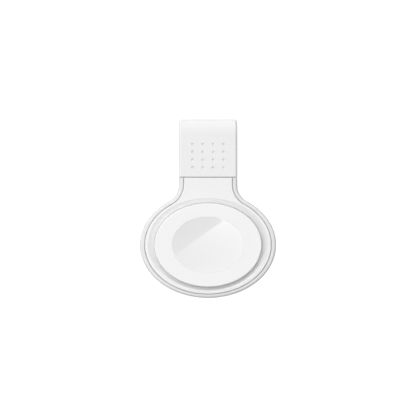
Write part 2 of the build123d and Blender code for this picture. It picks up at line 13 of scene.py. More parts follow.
import bmesh
import bpy
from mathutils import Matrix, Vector


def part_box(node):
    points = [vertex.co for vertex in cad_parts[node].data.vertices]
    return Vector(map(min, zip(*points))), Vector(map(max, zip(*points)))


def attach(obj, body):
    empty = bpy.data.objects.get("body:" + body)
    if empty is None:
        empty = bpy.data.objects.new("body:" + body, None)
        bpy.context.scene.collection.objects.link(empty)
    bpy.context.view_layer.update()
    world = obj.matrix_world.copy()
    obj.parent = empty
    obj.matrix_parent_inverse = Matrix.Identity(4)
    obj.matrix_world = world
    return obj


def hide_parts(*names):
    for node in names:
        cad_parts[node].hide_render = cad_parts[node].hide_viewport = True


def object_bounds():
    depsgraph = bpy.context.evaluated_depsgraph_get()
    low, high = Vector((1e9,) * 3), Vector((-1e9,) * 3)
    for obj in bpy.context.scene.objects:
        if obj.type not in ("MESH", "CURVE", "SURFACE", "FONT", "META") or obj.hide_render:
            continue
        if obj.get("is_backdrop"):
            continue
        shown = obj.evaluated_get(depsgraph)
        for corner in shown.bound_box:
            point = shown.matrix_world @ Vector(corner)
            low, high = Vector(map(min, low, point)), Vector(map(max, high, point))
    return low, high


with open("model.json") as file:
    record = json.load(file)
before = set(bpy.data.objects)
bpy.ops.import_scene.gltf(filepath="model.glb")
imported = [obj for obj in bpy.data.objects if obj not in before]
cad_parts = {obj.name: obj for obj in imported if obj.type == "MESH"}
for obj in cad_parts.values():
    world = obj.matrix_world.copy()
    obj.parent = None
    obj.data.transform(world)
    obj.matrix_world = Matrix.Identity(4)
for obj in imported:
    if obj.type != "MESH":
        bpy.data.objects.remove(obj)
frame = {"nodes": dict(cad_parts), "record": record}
nodes = frame["nodes"]
MM = 0.001
MICRON = 0.001 * MM
scene = bpy.context.scene
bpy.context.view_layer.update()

# %% [markdown]
# ## Camera
# The charger is seen flat on, so the camera looks straight down. A long lens keeps the raised pad from
# growing against the rim below it, as a short lens would make it do.

# %% Camera
VIEW_WIDTH = 118.6 * MM      # what the square view shows at the height of the rim
VIEW_MIDDLE_Y = 10.5 * MM    # the cap makes the charger longer on one side of the head
LENS = 150.0
rim_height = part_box("front_frame")[1].z
camera_data = bpy.data.cameras.new("camera")
camera_data.lens = LENS
camera_data.clip_start = 10 * MM
camera = bpy.data.objects.new("camera", camera_data)
scene.collection.objects.link(camera)
camera.location = (0, VIEW_MIDDLE_Y, rim_height + VIEW_WIDTH * LENS / camera_data.sensor_width)
scene.camera = camera
print("camera", round(camera.location.z, 3), "m above the table")

# %% [markdown]
# ## Small helpers for node trees
# Every finish and every repeated shape below is a node tree, so a few helpers do the wiring: one adds a
# node and fills its inputs in a single call, and the others do the same for arithmetic and vectors. An
# input is either a number or the output of another node.

# %% Node helpers
def add(tree, kind, inputs=None, **settings):
    """Adds a node, applies its settings, and sets or links its inputs by name or number."""
    node = tree.nodes.new(kind)
    for key, value in settings.items():
        setattr(node, key, value)
    for key, value in (inputs or {}).items():
        if isinstance(value, bpy.types.NodeSocket):
            tree.links.new(value, node.inputs[key])
        else:
            node.inputs[key].default_value = value
    return node

def calc(tree, operation, a, b=0.0, clamp=False):
    """Plain arithmetic between two numbers or sockets."""
    return add(tree, "ShaderNodeMath", {0: a, 1: b}, operation=operation, use_clamp=clamp).outputs[0]

def product(tree, *factors):
    """All the factors multiplied together."""
    return reduce(lambda a, b: calc(tree, "MULTIPLY", a, b), factors)

def total(tree, *terms):
    """All the terms added up."""
    return reduce(lambda a, b: calc(tree, "ADD", a, b), terms)

def vector(tree, x=0.0, y=0.0, z=0.0):
    """A vector made of three numbers or sockets."""
    return add(tree, "ShaderNodeCombineXYZ", {0: x, 1: y, 2: z}).outputs[0]

def split(tree, whole):
    """The x, y and z of a vector."""
    return add(tree, "ShaderNodeSeparateXYZ", {0: whole}).outputs

def agreement(tree, a, b):
    """How far two directions agree: 1 when they are the same, 0 when they are square to each other."""
    return add(tree, "ShaderNodeVectorMath", {0: a, 1: b}, operation="DOT_PRODUCT").outputs["Value"]

def noise(tree, position, scale, detail=2.0):
    """Soft random lumps, this many to the metre."""
    inputs = {"Vector": position, "Scale": scale, "Detail": detail}
    return add(tree, "ShaderNodeTexNoise", inputs).outputs[0]

def grey(level):
    return (level, level, level)

# %% [markdown]
# ## Studio light
# White plastic on a white table shows its shape only through soft differences in light. The room is one
# dome with five parts, each a formula of the direction that a ray looks in:
#
# - a fill from everywhere, stronger from the left than from the right;
# - a soft key high on the upper left, which throws the pad's faint shadow to the lower right;
# - a glow low on the left, which keeps the left edges light;
# - a lamp panel overhead, whose straight edge is reflected as the diagonal across the polished hollow;
# - a soft band beyond the plug end, which brightens the sloping end of the cap.
#
# A formula is easier to tune than five lamps, and it shows no lamp shapes in the side views.

# %% Strengths and shapes of the lights
FILL = 0.61
FILL_LEAN = 0.6         # how much more of the fill comes from the left than from the right
KEY = 0.60
KEY_WAY = Vector((-0.41, 0.41, 0.82))
KEY_TIGHTNESS = 12.0
LEFT_GLOW = 0.44
LEFT_WAY = Vector((-0.87, 0.0, 0.5))
LEFT_TIGHTNESS = 4.0
PANEL = 2.45
PANEL_SLOPE = 1.252     # how steeply the panel's straight edge runs across the sky
PANEL_REACH = 0.138     # how far past the zenith it ends
PANEL_START = 0.24      # the panel is at its brightest up to here, and fades towards the plug end
PANEL_FADE = 4.3
PANEL_CUT = 0.93        # the panel is a small one, close round the zenith
BAND = 1.9
BAND_START = 0.15       # the band grows from here towards the plug end
BAND_WIDTH = 0.35
BAND_CUT = 0.45         # it stops well above the horizon
HORIZON = 0.01          # keeps slopes finite for rays that run along the ground

# %% Dome of light
world = bpy.data.worlds.new("studio")
scene.world = world
world.use_nodes = True
sky = world.node_tree
sky.nodes.clear()
direction = add(sky, "ShaderNodeTexCoord").outputs["Generated"]
dx, dy, dz = split(sky, direction)

def soft_lamp(way, tightness, strength):
    """Light that is brightest along one direction and falls off evenly round it."""
    along = calc(sky, "MAXIMUM", agreement(sky, direction, way.normalized()), 0.0)
    return product(sky, calc(sky, "POWER", along, tightness), strength)

toward_plug = calc(sky, "DIVIDE", dy, calc(sky, "MAXIMUM", dz, HORIZON))
side = total(sky, product(sky, dx, -PANEL_SLOPE), dy, product(sky, dz, PANEL_REACH))
fade = calc(sky, "EXPONENT", product(sky, total(sky, toward_plug, PANEL_START), -PANEL_FADE))
panel = product(
    sky, calc(sky, "GREATER_THAN", side, 0.0), calc(sky, "MINIMUM", fade, 1.0),
    calc(sky, "GREATER_THAN", dz, PANEL_CUT), PANEL)
growth = calc(sky, "DIVIDE", calc(sky, "SUBTRACT", toward_plug, BAND_START), BAND_WIDTH, clamp=True)
band = product(sky, growth, BAND, calc(sky, "GREATER_THAN", dz, BAND_CUT))
key = soft_lamp(KEY_WAY, KEY_TIGHTNESS, KEY)
left_glow = soft_lamp(LEFT_WAY, LEFT_TIGHTNESS, LEFT_GLOW)
fill = product(sky, calc(sky, "SUBTRACT", 1.0, product(sky, dx, FILL_LEAN)), FILL)
light = total(sky, panel, band, key, left_glow, fill)

seen = add(sky, "ShaderNodeLightPath").outputs["Is Camera Ray"]
shown = add(sky, "ShaderNodeMix", {0: seen, 2: light, 3: 1.0}, data_type="FLOAT").outputs[0]
background = add(sky, "ShaderNodeBackground", {"Strength": shown})
add(sky, "ShaderNodeOutputWorld", {0: background.outputs[0]})
scene.view_settings.view_transform = "Standard"
print("dome of light:", len(sky.nodes), "nodes")

# %% [markdown]
# ## White table
# The table has to look pure white right up to the charger's edge, yet still take a faint contact shadow.
# So the camera sees a diffuse white with a little glow added, while light that bounces from the table to
# the charger comes from a duller surface, which keeps the lower edges of the charger grey.

# %% Table
TABLE_HALF = 1.5
TABLE_GLOW = 0.8
TABLE_WHITE = 0.85      # what the camera sees
TABLE_DULL = 0.25       # what the charger is lit by
table_mesh = bpy.data.meshes.new("table")
bm = bmesh.new()
bmesh.ops.create_grid(bm, x_segments=1, y_segments=1, size=TABLE_HALF)
bm.to_mesh(table_mesh)
bm.free()
table = bpy.data.objects.new("table", table_mesh)
scene.collection.objects.link(table)
table_white = bpy.data.materials.new("white_table")
table_white.use_nodes = True
tree = table_white.node_tree
tree.nodes.clear()
seen = add(tree, "ShaderNodeLightPath").outputs["Is Camera Ray"]
glow = add(tree, "ShaderNodeEmission", {"Strength": TABLE_GLOW})
white = add(tree, "ShaderNodeBsdfDiffuse", {"Color": (*grey(TABLE_WHITE), 1)})
dull = add(tree, "ShaderNodeBsdfDiffuse", {"Color": (*grey(TABLE_DULL), 1)})
bright = add(tree, "ShaderNodeAddShader", {0: glow.outputs[0], 1: white.outputs[0]})
pick = add(tree, "ShaderNodeMixShader", {0: seen, 1: dull.outputs[0], 2: bright.outputs[0]})
add(tree, "ShaderNodeOutputMaterial", {0: pick.outputs[0]})
table_mesh.materials.append(table_white)
table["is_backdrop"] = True

# %% [markdown]
# ## Effects that several finishes share
# Real surfaces vary at more than one scale. Moulded plastic has a fine spark-eroded grain and slow changes
# of tone where the melt flowed, corners are rubbed smoother than flats, dust settles on what faces up,
# and worked metal keeps the lines of the tool. Each effect is a shader group, made once with named inputs
# and placed in each material with its own values. A group gives only heights and masks; the material
# decides what they do to its colour, roughness or bump.

# %% Group maker
def new_group(name, kind, inputs, outputs):
    """An empty node group with named inputs and outputs, and its two end nodes."""
    group = bpy.data.node_groups.new(name, kind)
    for label, socket, value in inputs:
        made = group.interface.new_socket(label, in_out="INPUT", socket_type=socket)
        if value is not None:
            made.default_value = value
    for label, socket in outputs:
        group.interface.new_socket(label, in_out="OUTPUT", socket_type=socket)
    return group, group.nodes.new("NodeGroupInput").outputs, group.nodes.new("NodeGroupOutput").inputs

FLOAT, VECTOR, WHOLE = "NodeSocketFloat", "NodeSocketVector", "NodeSocketInt"
GEOMETRY, MATERIAL = "NodeSocketGeometry", "NodeSocketMaterial"

# %% Moulded grain
grain_group, given, result = new_group(
    "moulded_grain", "ShaderNodeTree",
    [("Position", VECTOR, None), ("Grain Size", FLOAT, 0.1 * MM), ("Flow Size", FLOAT, 8 * MM)],
    [("Height", FLOAT), ("Tone", FLOAT)])
fine = noise(grain_group, given["Position"], calc(grain_group, "DIVIDE", 1.0, given["Grain Size"]))
flow_scale = calc(grain_group, "DIVIDE", 1.0, given["Flow Size"])
slow = noise(grain_group, given["Position"], flow_scale, detail=1.0)
grain_group.links.new(fine, result["Height"])
grain_group.links.new(slow, result["Tone"])

# %% Edge wear
WEAR_GAIN = 4.0         # how soon a turned edge counts as fully worn
WEAR_PATCHES = 900.0    # patches of stronger and weaker wear to the metre
edge_group, given, result = new_group(
    "edge_wear", "ShaderNodeTree",
    [("Position", VECTOR, None), ("Width", FLOAT, 0.3 * MM)], [("Mask", FLOAT)])
rounded = add(edge_group, "ShaderNodeBevel", {"Radius": given["Width"]}, samples=4).outputs[0]
true_normal = add(edge_group, "ShaderNodeNewGeometry").outputs["Normal"]
turn = calc(edge_group, "SUBTRACT", 1.0, agreement(edge_group, rounded, true_normal))
turn = calc(edge_group, "MULTIPLY", turn, WEAR_GAIN, clamp=True)
patchy = noise(edge_group, given["Position"], WEAR_PATCHES)
edge_group.links.new(product(edge_group, turn, patchy), result["Mask"])

# %% Settled dust
SPECKS = 2600.0         # lumps of noise to the metre
SPECK_FROM = 0.62       # only the peaks of the noise above this are specks
SPECK_EDGE = 8.0        # how sharply a speck ends
dust_group, given, result = new_group(
    "settled_dust", "ShaderNodeTree",
    [("Position", VECTOR, None), ("Amount", FLOAT, 0.1)], [("Mask", FLOAT)])
_, _, up = split(dust_group, add(dust_group, "ShaderNodeNewGeometry").outputs["Normal"])
peaks = calc(dust_group, "SUBTRACT", noise(dust_group, given["Position"], SPECKS, detail=3.0), SPECK_FROM)
loose = calc(dust_group, "MULTIPLY", peaks, SPECK_EDGE, clamp=True)
settled = product(dust_group, loose, calc(dust_group, "MAXIMUM", up, 0.0), given["Amount"])
dust_group.links.new(settled, result["Mask"])

# %% Tool lines
lines_group, given, result = new_group(
    "tool_lines", "ShaderNodeTree",
    [("Position", VECTOR, None), ("Stretch", VECTOR, (1.0, 0.03, 1.0)), ("Line Size", FLOAT, 0.06 * MM)],
    [("Height", FLOAT)])
ends = {0: given["Position"], 1: given["Stretch"]}
drawn = add(lines_group, "ShaderNodeVectorMath", ends, operation="MULTIPLY").outputs[0]
lines = noise(lines_group, drawn, calc(lines_group, "DIVIDE", 1.0, given["Line Size"]))
lines_group.links.new(lines, result["Height"])
print("shared effects:", [g.name for g in (grain_group, edge_group, dust_group, lines_group)])

# %% [markdown]
# ## Finishes
# A finish starts from a base colour, roughness and shine set on the shader itself, because they are the
# same everywhere. The shared groups then add only what changes over the surface. Patterns read Object
# coordinates, so that they stay on the piece when it moves.

# %% What every finish starts with
COAT_ROUGHNESS = 0.015
def start_finish(name, colour, roughness, metallic=0.0, coat=0.0, ior=1.5):
    """A material with its plain values set, and the position that its patterns read."""
    material = bpy.data.materials.new(name)
    material.use_nodes = True
    shader = material.node_tree.nodes["Principled BSDF"].inputs
    shader["Base Color"].default_value = (*colour, 1)
    shader["Roughness"].default_value = roughness
    shader["Metallic"].default_value = metallic
    shader["Coat Weight"].default_value = coat
    shader["Coat Roughness"].default_value = COAT_ROUGHNESS
    shader["IOR"].default_value = ior
    position = add(material.node_tree, "ShaderNodeTexCoord").outputs["Object"]
    return material, material.node_tree, shader, position

def place(tree, group, **inputs):
    """Places a shared group in a material with its own values. A word break in a name is written _."""
    node = add(tree, "ShaderNodeGroup", None, node_tree=group)
    for key, value in inputs.items():
        socket = node.inputs[key.replace("_", " ")]
        if isinstance(value, bpy.types.NodeSocket):
            tree.links.new(value, socket)
        else:
            socket.default_value = value
    return node.outputs

def blend_colour(tree, mask, low, high):
    """One colour where the mask is 0 and another where it is 1."""
    low, high = [c if isinstance(c, bpy.types.NodeSocket) else (*c, 1) for c in (low, high)]
    return add(tree, "ShaderNodeMix", {0: mask, 6: low, 7: high}, data_type="RGBA").outputs[2]

def spread(tree, mask, low, high):
    """A number that runs from low to high as the mask runs from 0 to 1."""
    return add(tree, "ShaderNodeMapRange", {0: mask, 3: low, 4: high}).outputs[0]

def tint(colour, change):
    """A colour made lighter or darker by a share of itself."""
    return tuple(min(1.0, c * (1 + change)) for c in colour)

def bump(tree, shader, depth, height, strength):
    """Raises and lowers the surface by depth, in metres."""
    node = add(tree, "ShaderNodeBump", {"Height": height, "Distance": depth, "Strength": strength})
    tree.links.new(node.outputs[0], shader["Normal"])

# %% [markdown]
# ### Moulded plastics and rubbers
# The shell, face plate, pad, cap, plug block and rubber parts are all moulded, and differ in colour, in
# how matt the mould left them and in how coarse the grain is. One function makes them all. Flow marks
# change the tone by a percent or so, edges are handled most and turn a little smoother, and a trace
# of dust lies on top. On white plastic these stay faint, as on a part fresh from its box.

# %% Moulded plastic
DUST = (0.55, 0.53, 0.50)
DUST_MATT = 0.5         # how much rougher dust makes the surface
RUBBED = 0.08           # how much smoother a handled edge is
UNEVEN = 0.08           # how much the gloss varies with the flow
def moulded(name, colour, roughness, grain=0.1, depth=0.6, flow=0.012, dust=0.05, **plain):
    """Moulded plastic: grain in millimetres, depth in thousandths of a millimetre."""
    material, tree, shader, position = start_finish(name, colour, roughness, **plain)
    texture = place(tree, grain_group, Position=position, Grain_Size=grain * MM)
    worn = place(tree, edge_group, Position=position)["Mask"]
    dusty = place(tree, dust_group, Position=position, Amount=dust)["Mask"]
    tone = blend_colour(tree, texture["Tone"], tint(colour, -flow), tint(colour, flow))
    tree.links.new(blend_colour(tree, dusty, tone, DUST), shader["Base Color"])
    even = spread(tree, texture["Tone"], roughness * (1 - UNEVEN), roughness * (1 + UNEVEN))
    rough = total(tree, even, product(tree, worn, -RUBBED))
    rough = calc(tree, "ADD", rough, product(tree, dusty, DUST_MATT), clamp=True)
    tree.links.new(rough, shader["Roughness"])
    bump(tree, shader, depth * MICRON, texture["Height"], strength=0.6)
    return material

finishes = {
    "housing": moulded("satin_white_shell", grey(0.75), 0.35, grain=0.16, depth=1.2),
    "face": moulded(
        "glossy_white_face", grey(0.80), 0.08, grain=0.8, depth=0.2, dust=0.03, coat=1.0, ior=1.6),
    "pad": moulded("satin_white_pad", grey(0.85), 0.30, grain=0.14, depth=0.8, dust=0.03),
    "cap_liner": moulded("grey_liner_rubber", (0.42, 0.43, 0.44), 0.6, grain=0.12, depth=2.5, flow=0.05),
    "foot": moulded(
        "grey_foot_rubber", (0.50, 0.51, 0.52), 0.62, grain=0.10, depth=3.0, flow=0.05, dust=0.2),
    "carrier": moulded("black_glass_filled", (0.035, 0.035, 0.038), 0.5, grain=0.25, depth=3.0, flow=0.2),
    "plug_tongue": moulded("plug_block_white", (0.74, 0.74, 0.72), 0.42, grain=0.3, depth=1.5, flow=0.03),
    "film": moulded("clear_film", (0.78, 0.76, 0.70), 0.22, grain=0.9, depth=0.8, flow=0.04, dust=0.0),
    "thermal": moulded("thermal_gel", (0.34, 0.42, 0.50), 0.7, grain=0.22, depth=8.0, flow=0.06, dust=0.0),
}
print("moulded finishes:", sorted(finishes))

# %% [markdown]
# ### Cap with matt dimples and painted shade in them
# The cap is the same plastic, but its grip dimples were eroded into the mould more coarsely than the flat
# round them, so they don't glint, and their colour is painted greyer as shade in the hollows. The mask is how
# far the surface lies below the flat face, kept away from the sloping end, which lies lower as well.

# %% Cap
DIMPLE_DEPTH = 0.18 * MM
FULLY_DEEP = 0.6            # the share of that depth where the coarse grain is complete
DIMPLE_MATT = 0.4
DIMPLES_END = 30 * MM       # the sloping end of the cap starts beyond this
CAP_ROUNDING = 1.2 * MM     # the rounded rim of the cap also lies lower, and stays plain
FACING_OUT = 0.5
def dimpled_cap(name, colour, dimple_shade_colour, roughness):
    """Moulded plastic that is more matt, and painted greyer as shade, wherever its two flat faces dip."""
    material = moulded(name, colour, roughness, grain=0.20, depth=1.2)
    tree = material.node_tree
    shader = tree.nodes["Principled BSDF"].inputs
    flat, rough = [shader[label].links[0].from_socket for label in ("Base Color", "Roughness")]
    x, y, z = split(tree, add(tree, "ShaderNodeTexCoord").outputs["Object"])
    _, _, facing = split(tree, add(tree, "ShaderNodeNewGeometry").outputs["True Normal"])
    low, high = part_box("cap_shell")
    off_middle = calc(tree, "ABSOLUTE", calc(tree, "SUBTRACT", z, (low.z + high.z) / 2))
    below = calc(tree, "SUBTRACT", (high.z - low.z) / 2, off_middle)
    deep = product(
        tree, calc(tree, "DIVIDE", below, DIMPLE_DEPTH * FULLY_DEEP, clamp=True),
        calc(tree, "GREATER_THAN", calc(tree, "ABSOLUTE", facing), FACING_OUT),
        calc(tree, "LESS_THAN", calc(tree, "ABSOLUTE", x), high.x - CAP_ROUNDING),
        calc(tree, "LESS_THAN", y, DIMPLES_END),
        calc(tree, "GREATER_THAN", y, low.y + CAP_ROUNDING))
    # The dimples' greyer colour is painted shade in the hollows; the added roughness is their real matt grain.
    tree.links.new(blend_colour(tree, deep, flat, dimple_shade_colour), shader["Base Color"])
    rough = calc(tree, "ADD", rough, product(tree, deep, DIMPLE_MATT), clamp=True)
    tree.links.new(rough, shader["Roughness"])
    return material

# grey(0.66) is the painted shade colour of the dimples.
finishes["cap"] = dimpled_cap("silky_white_cap", grey(0.80), grey(0.66), 0.28)

# %% [markdown]
# ### Polished hollow
# The round of the hollow is the one mirror-like surface: a clear hard coat over white. A coat lobe on the
# shader gives the sharp reflection, and a slow smear pattern makes its gloss a little uneven, as wiping
# with a cloth leaves it. No bump is used, because it would break the straight edge of the reflection.

# %% Polished hollow
POLISHED_FLOW = 0.006       # how much the tone varies
SMEAR = 0.02                # how much rougher a smear is
def polished(name, colour, roughness):
    """Coated plastic with smears in its gloss and no bump."""
    material, tree, shader, position = start_finish(name, colour, roughness, coat=1.0, ior=1.6)
    texture = place(tree, grain_group, Position=position, Grain_Size=1.4 * MM, Flow_Size=5 * MM)
    wiped = place(tree, lines_group, Position=position, Stretch=(0.4, 0.08, 1.0), Line_Size=0.5 * MM)
    tone = blend_colour(tree, texture["Tone"], tint(colour, -POLISHED_FLOW), tint(colour, POLISHED_FLOW))
    tree.links.new(tone, shader["Base Color"])
    tree.links.new(spread(tree, wiped["Height"], roughness, roughness + SMEAR), shader["Roughness"])
    return material

finishes["dish"] = polished("polished_white_hollow", grey(0.80), 0.012)

# %% [markdown]
# ### Metals
# Metal parts differ in colour and in the lines that their making leaves: the plug's shell is rolled and
# drawn along its length, contacts are wiped along theirs, screws and discs are turned or ground. The
# tool lines are stretched noise, used for roughness and for a very shallow bump. Corners of plated
# parts are burnished, so the edge mask makes them brighter and smoother.

# %% Worked metal
LINE_CONTRAST = 0.3         # how much the tool lines vary the roughness
BURNISHED = 0.1             # how much smoother a worn corner is
BURNISHED_TINT = 0.15       # and how much brighter
def worked(name, colour, roughness, stretch=(1.0, 0.03, 1.0), line=0.05, depth=0.4, spots=0.04, coat=0.0):
    """Worked metal: line width in millimetres, depth in thousandths of a millimetre."""
    material, tree, shader, position = start_finish(name, colour, roughness, metallic=1.0, coat=coat)
    lines = place(tree, lines_group, Position=position, Stretch=stretch, Line_Size=line * MM)["Height"]
    texture = place(tree, grain_group, Position=position, Grain_Size=0.3 * MM, Flow_Size=2.5 * MM)
    worn = place(tree, edge_group, Position=position, Width=0.12 * MM)["Mask"]
    tone = blend_colour(tree, texture["Tone"], tint(colour, -spots), tint(colour, spots))
    tree.links.new(blend_colour(tree, worn, tone, tint(colour, BURNISHED_TINT)), shader["Base Color"])
    rough = spread(tree, lines, roughness * (1 - LINE_CONTRAST), roughness * (1 + LINE_CONTRAST))
    rough = calc(tree, "SUBTRACT", rough, product(tree, worn, BURNISHED), clamp=True)
    tree.links.new(rough, shader["Roughness"])
    bump(tree, shader, depth * MICRON, lines, strength=0.5)
    return material

finishes["plug_shell"] = worked("nickel_plated_shell", (0.50, 0.49, 0.47), 0.32)
finishes["contact"] = worked("gold_plated_contact", (0.85, 0.62, 0.28), 0.2, line=0.03)
finishes["steel"] = worked("zinc_plated_steel", (0.60, 0.60, 0.61), 0.34, stretch=(1.0, 1.0, 0.1))
finishes["magnet"] = worked(
    "nickel_plated_magnet", (0.74, 0.72, 0.69), 0.16, stretch=(1.0, 1.0, 0.05), line=0.2)
finishes["crystal"] = worked("sealed_metal_lid", (0.68, 0.67, 0.65), 0.3, stretch=(0.05, 1.0, 1.0))
finishes["copper"] = worked(
    "enamelled_copper", (0.66, 0.28, 0.12), 0.22, stretch=(1, 1, 1), line=0.4, coat=0.7)
finishes["solder"] = worked("tin_solder", (0.70, 0.70, 0.71), 0.28, stretch=(1, 1, 1), line=0.25, depth=4.0)
print("finishes so far:", len(finishes))

# %% [markdown]
# ### Ferrite, moulded packages and ceramic
# These are all pressed powders: dark ferrite, black filled epoxy and tan ceramic. A cell texture gives the
# crystals or filler grains a slightly different shade each, and its distance makes the pitted surface.

# %% Pressed powder
PRESSED_TINT = 0.9          # how much lighter a rubbed corner is
PRESSED_UNEVEN = 0.08       # how much the roughness differs from grain to grain
def pressed(name, colour, roughness, grain=0.09, shades=0.35, depth=2.0):
    """Pressed powder: grain in millimetres, depth in thousandths of a millimetre."""
    material, tree, shader, position = start_finish(name, colour, roughness)
    cells = add(tree, "ShaderNodeTexVoronoi", {"Vector": position, "Scale": 1 / (grain * MM)}).outputs
    shade = add(tree, "ShaderNodeSeparateColor", {0: cells["Color"]}).outputs[0]
    worn = place(tree, edge_group, Position=position, Width=0.1 * MM)["Mask"]
    tone = blend_colour(tree, shade, tint(colour, -shades), tint(colour, shades))
    tree.links.new(blend_colour(tree, worn, tone, tint(colour, PRESSED_TINT)), shader["Base Color"])
    rough = spread(tree, shade, roughness - PRESSED_UNEVEN, roughness + PRESSED_UNEVEN)
    tree.links.new(rough, shader["Roughness"])
    bump(tree, shader, depth * MICRON, cells["Distance"], strength=0.7)
    return material

finishes["ferrite"] = pressed("ferrite", (0.055, 0.056, 0.062), 0.55)
finishes["chip"] = pressed("package_epoxy", (0.022, 0.022, 0.025), 0.48, grain=0.05, shades=0.2)
finishes["capacitor"] = pressed("tan_ceramic", (0.46, 0.33, 0.20), 0.42, grain=0.07, shades=0.12, depth=1.0)

# %% [markdown]
# ### Circuit board
# A board is glass cloth in resin with copper on both faces, under green solder mask. The mask dips
# between tracks, so the tracks show as slightly raised lighter lines. Here they are bundles of parallel
# lines that run along or across the board in blocks. The cut edge has no mask, so the pale cloth shows
# wherever the surface faces sideways.

# %% Circuit board
TRACK_PITCH = 0.5 * MM
TRACK_GAP = 0.12 * MM       # from the middle of a gap to the side of a track
TRACK_EDGE = 30 / MM        # how sharply a track's side rises
TRACK_HEIGHT = 0.03 * MM
BLOCKS = 190.0              # blocks of tracks to the metre
EMPTY_BLOCKS = 0.35         # the share of blocks that have no tracks
FACE_UP = 0.5               # flatter than this is a face of the board, and the rest is its cut edge
GREEN, TRACK, CLOTH = (0.012, 0.085, 0.045), (0.03, 0.16, 0.085), (0.42, 0.38, 0.22)
def masked_board(name):
    """Solder mask over tracks on both faces, and bare glass cloth at the cut edge."""
    material, tree, shader, position = start_finish(name, GREEN, 0.3, coat=0.2)
    x, y, _ = split(tree, position)
    def ridges(along):
        wave = calc(tree, "PINGPONG", along, TRACK_PITCH / 2)
        return calc(tree, "MULTIPLY", calc(tree, "SUBTRACT", wave, TRACK_GAP), TRACK_EDGE, clamp=True)
    blocks = add(tree, "ShaderNodeTexVoronoi", {"Vector": position, "Scale": BLOCKS}, distance="CHEBYCHEV")
    which = add(tree, "ShaderNodeSeparateColor", {0: blocks.outputs["Color"]}).outputs
    across = calc(tree, "GREATER_THAN", which[0], 0.5)
    lines = add(tree, "ShaderNodeMix", {0: across, 2: ridges(x), 3: ridges(y)}, data_type="FLOAT").outputs[0]
    lines = product(tree, lines, calc(tree, "GREATER_THAN", which[1], EMPTY_BLOCKS))
    _, _, normal_up = split(tree, add(tree, "ShaderNodeNewGeometry").outputs["Normal"])
    flat = calc(tree, "GREATER_THAN", calc(tree, "ABSOLUTE", normal_up), FACE_UP)
    face = blend_colour(tree, lines, GREEN, TRACK)
    weave = place(tree, lines_group, Position=position, Stretch=(1.0, 1.0, 6.0), Line_Size=0.1 * MM)
    edge = blend_colour(tree, weave["Height"], tint(CLOTH, -0.3), tint(CLOTH, 0.3))
    tree.links.new(blend_colour(tree, flat, edge, face), shader["Base Color"])
    tree.links.new(spread(tree, flat, 0.75, 0.28), shader["Roughness"])
    bump(tree, shader, TRACK_HEIGHT, product(tree, lines, flat), strength=0.8)
    return material

finishes["board"] = masked_board("green_solder_mask")

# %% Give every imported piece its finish
slot_of = {part["node"]: part["material_slot"] for part in frame["record"]["subparts"]}
for name, node in nodes.items():
    node.data.materials.clear()
    node.data.materials.append(finishes[slot_of[name]])
print("finished", len(nodes), "packed pieces in", len(set(slot_of.values())), "finishes")

# %% [markdown]
# ## Growing pieces with Geometry Nodes
# Turns of wire, threads, studs, leads and solder joints all repeat by a rule, so each kind is one tree
# with named sizes. The helper `grow` gives a tree its values, lets it build, and keeps only the plain
# mesh. It then merges doubled points, makes faces point outwards and marks the sharp edges.

# %% Grow a piece
SHARP_TURN = radians(35)
SAME_POINT = 1e-7
NO_LENGTH = 1e-8
def tidy_mesh(mesh):
    """Closes seams, turns faces outwards, and keeps sharp edges sharp under smooth shading."""
    bm = bmesh.new()
    bm.from_mesh(mesh)
    bmesh.ops.remove_doubles(bm, verts=bm.verts, dist=SAME_POINT)
    bmesh.ops.dissolve_degenerate(bm, edges=bm.edges, dist=NO_LENGTH)
    bmesh.ops.recalc_face_normals(bm, faces=bm.faces)
    for face in bm.faces:
        face.smooth = True
    bm.to_mesh(mesh)
    bm.free()
    mesh.set_sharp_from_angle(angle=SHARP_TURN)

def settle(piece, body, slot, *stands_for):
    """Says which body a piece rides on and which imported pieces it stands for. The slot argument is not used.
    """
    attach(piece, body)
    if stands_for:
        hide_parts(*stands_for)
    print(piece.name, len(piece.data.polygons), "faces")

def seed_points(places):
    """A mesh of loose points, for a tree to put copies on."""
    mesh = bpy.data.meshes.new("places")
    mesh.from_pydata([tuple(place) for place in places], [], [])
    return mesh

def grow(name, tree, values, seed=None):
    """Builds a tree with its own values and returns the result as a plain piece."""
    grower = bpy.data.objects.new(name + "_grower", seed or bpy.data.meshes.new("empty"))
    scene.collection.objects.link(grower)
    modifier = grower.modifiers.new("grow", "NODES")
    modifier.node_group = tree
    for socket in tree.interface.items_tree:
        if socket.in_out == "INPUT" and socket.name in values:
            modifier[socket.identifier] = values[socket.name]
    view = bpy.context.evaluated_depsgraph_get()
    mesh = bpy.data.meshes.new_from_object(grower.evaluated_get(view))
    bpy.data.objects.remove(grower)
    tidy_mesh(mesh)
    piece = bpy.data.objects.new(name, mesh)
    scene.collection.objects.link(piece)
    return piece

# %% What every tree has
def new_tree(name, *sizes):
    """A tree that takes geometry, named sizes and a material, and gives geometry."""
    inputs = [("Geometry", GEOMETRY, None), *sizes, ("Material", MATERIAL, None)]
    return new_group(name, "GeometryNodeTree", inputs, [("Geometry", GEOMETRY)])

def position_now(tree):
    """The x, y and z of each point, as it is where the tree asks."""
    return split(tree, add(tree, "GeometryNodeInputPosition").outputs[0])

def squares(tree, a, b):
    """The sum of the squares of two numbers."""
    return total(tree, product(tree, a, a), product(tree, b, b))

def gather(tree, *geometries):
    """Several geometries as one."""
    whole = add(tree, "GeometryNodeJoinGeometry")
    for geometry in geometries:
        tree.links.new(geometry, whole.inputs[0])
    return whole.outputs[0]

def moved(tree, geometry, offset):
    return add(tree, "GeometryNodeTransform", {"Geometry": geometry, "Translation": offset}).outputs[0]

def scaled(tree, geometry, scale):
    return add(tree, "GeometryNodeTransform", {"Geometry": geometry, "Scale": scale}).outputs[0]

def extruded(tree, mesh, offset, **selection):
    """Faces pushed out together, with the node's mesh and its selection of the pushed faces."""
    inputs = {"Mesh": mesh, "Offset": offset, "Individual": False, **selection}
    return add(tree, "GeometryNodeExtrudeMesh", inputs, mode="FACES").outputs

